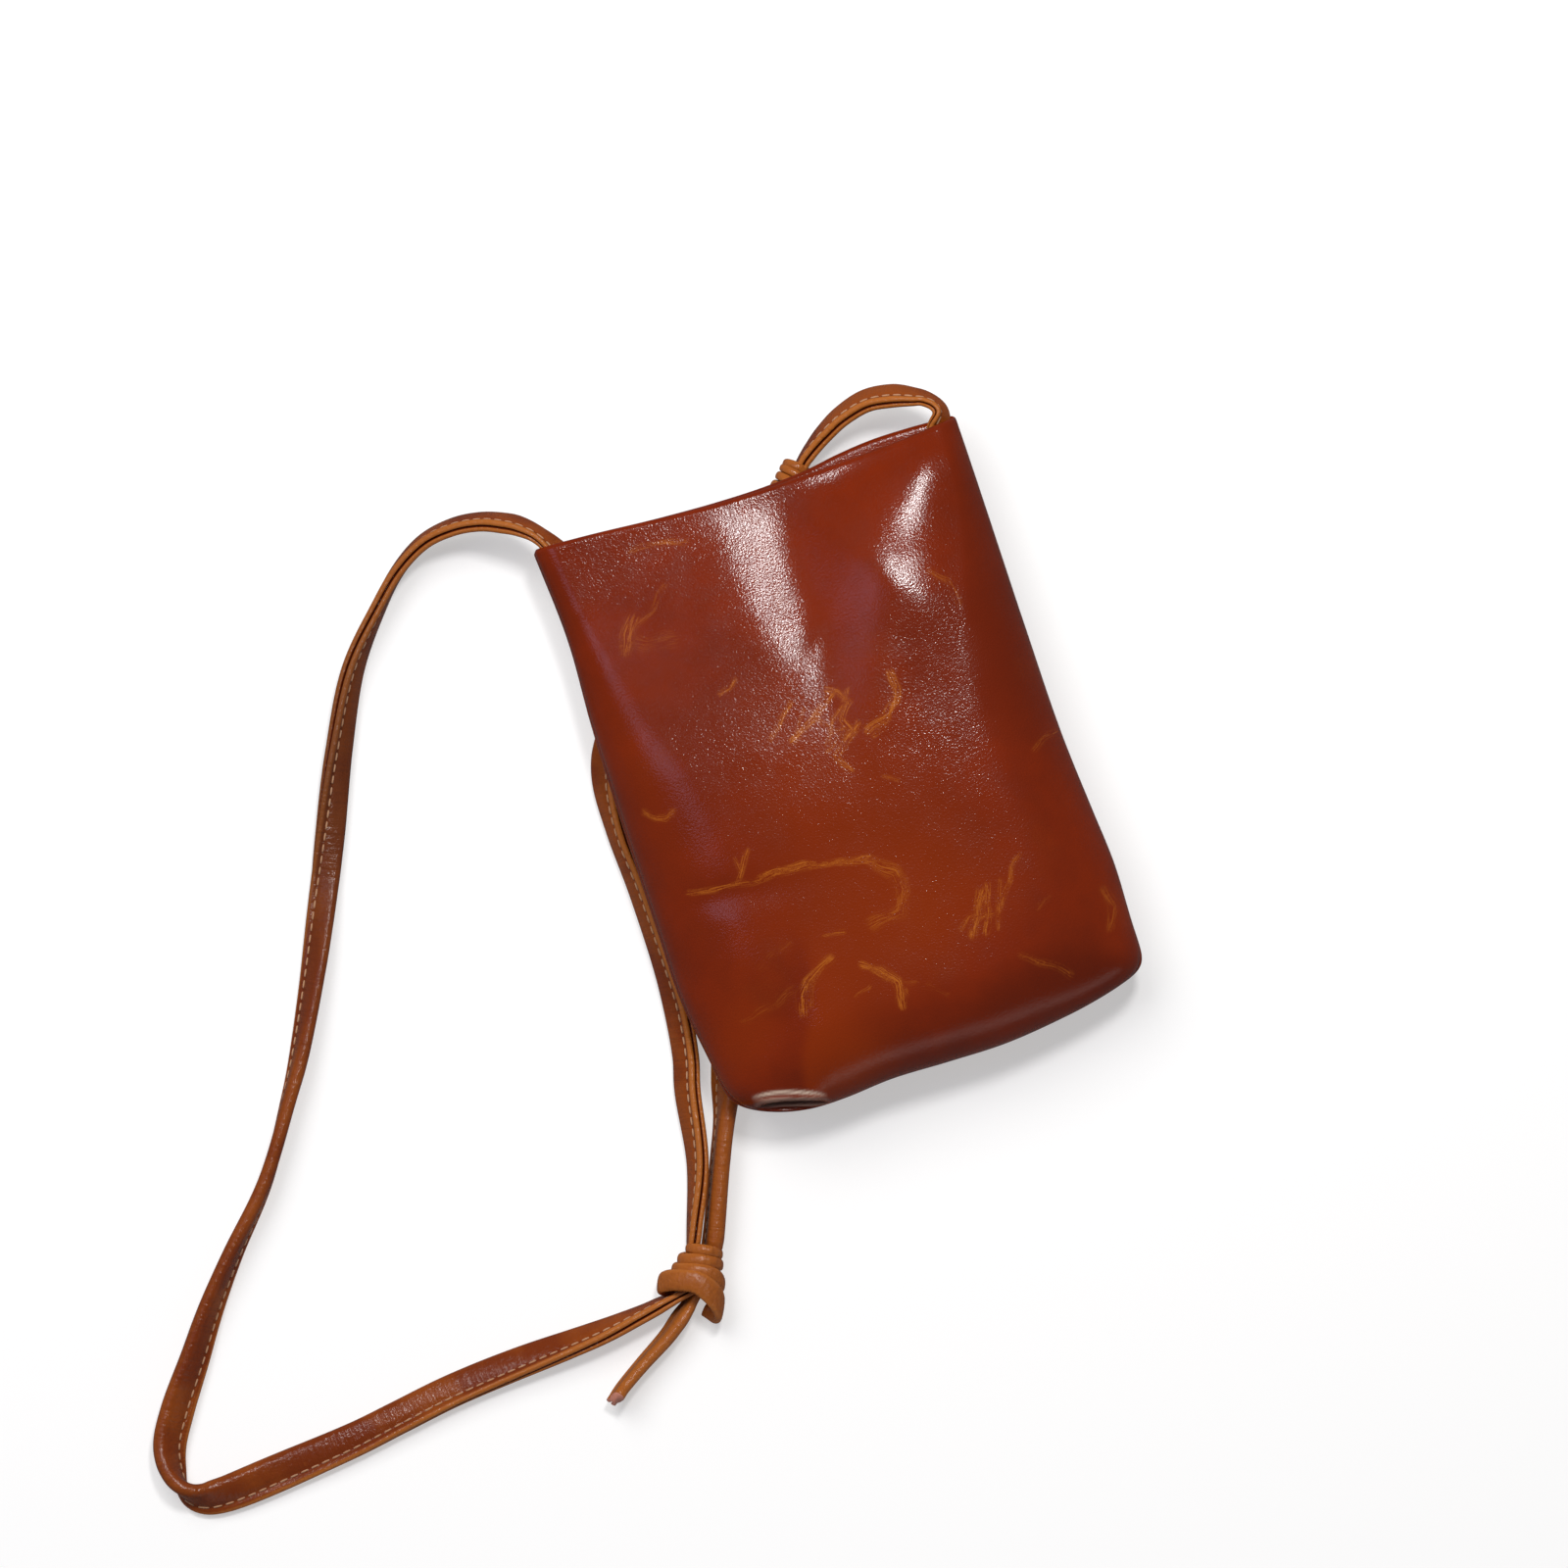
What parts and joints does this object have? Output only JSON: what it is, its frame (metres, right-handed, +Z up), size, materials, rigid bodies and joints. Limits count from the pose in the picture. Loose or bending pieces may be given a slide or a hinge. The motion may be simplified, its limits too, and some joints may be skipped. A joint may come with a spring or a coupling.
{
  "type": "crossbody purse",
  "caption": "Small slim leather crossbody pouch with an open top, shown lying on its back, with a folded leather strap tied by two sliding knots.",
  "frame": {"origin": "centre of the bottom of the bag's box, without its strap, on the surface that it lies on", "axes": "+X across the bag, to the right seen from its front, +Y from its bottom to its mouth, +Z up from the surface, out of the front"},
  "size_m": [0.3406, 0.2798, 0.0411],
  "materials": {
    "leather": "glossy red-brown oil-wax leather with orange pull-up marks",
    "strap_leather": "orange-tan leather of the same hide, folded lengthwise and stitched along its open edge",
    "lining_cloth": "plain dark brown woven cotton",
    "thread": "pale tan waxed thread",
    "snap_metal": "plated brass with a soft shine"
  },
  "bodies": {
    "bag": {"back_panel": "leather", "back_facing": "leather", "lining_back": "lining_cloth", "snap_stud": "snap_metal", "stud_washer": "snap_metal", "side_seam_thread_left": "thread", "side_seam_thread_right": "thread", "bottom_seam_thread": "thread", "strap_anchor_left": "strap_leather", "strap_anchor_right": "strap_leather", "strap_long_loop": "strap_leather", "strap_long_return": "strap_leather", "strap_short_loop": "strap_leather", "strap_short_run": "strap_leather"},
    "front": {"front_panel": "leather", "front_facing": "leather", "lining_front": "lining_cloth", "snap_socket": "snap_metal", "socket_washer": "snap_metal"},
    "lower_knot": {"knot_lower": "strap_leather", "tail_lower": "strap_leather"},
    "upper_knot": {"knot_upper": "strap_leather", "tail_upper": "strap_leather"}
  },
  "joints": [
    {"name": "mouth_open", "type": "hinge", "parent": "bag", "child": "front", "pos_m": [0, -0.0955, 0.0205], "axis": [1, 0, 0], "range_deg": [0, 8]},
    {"name": "lower_knot_slide", "type": "slide", "parent": "bag", "child": "lower_knot", "axis": [0.3998, 0.9166, 0], "range_m": [0, 0.03], "deforming": ["strap_long_loop", "strap_long_return", "strap_short_run"]},
    {"name": "upper_knot_slide", "type": "slide", "parent": "bag", "child": "upper_knot", "axis": [0.65, 0.7599, 0], "range_m": [0, 0.012], "deforming": ["strap_short_loop"]}
  ]
}
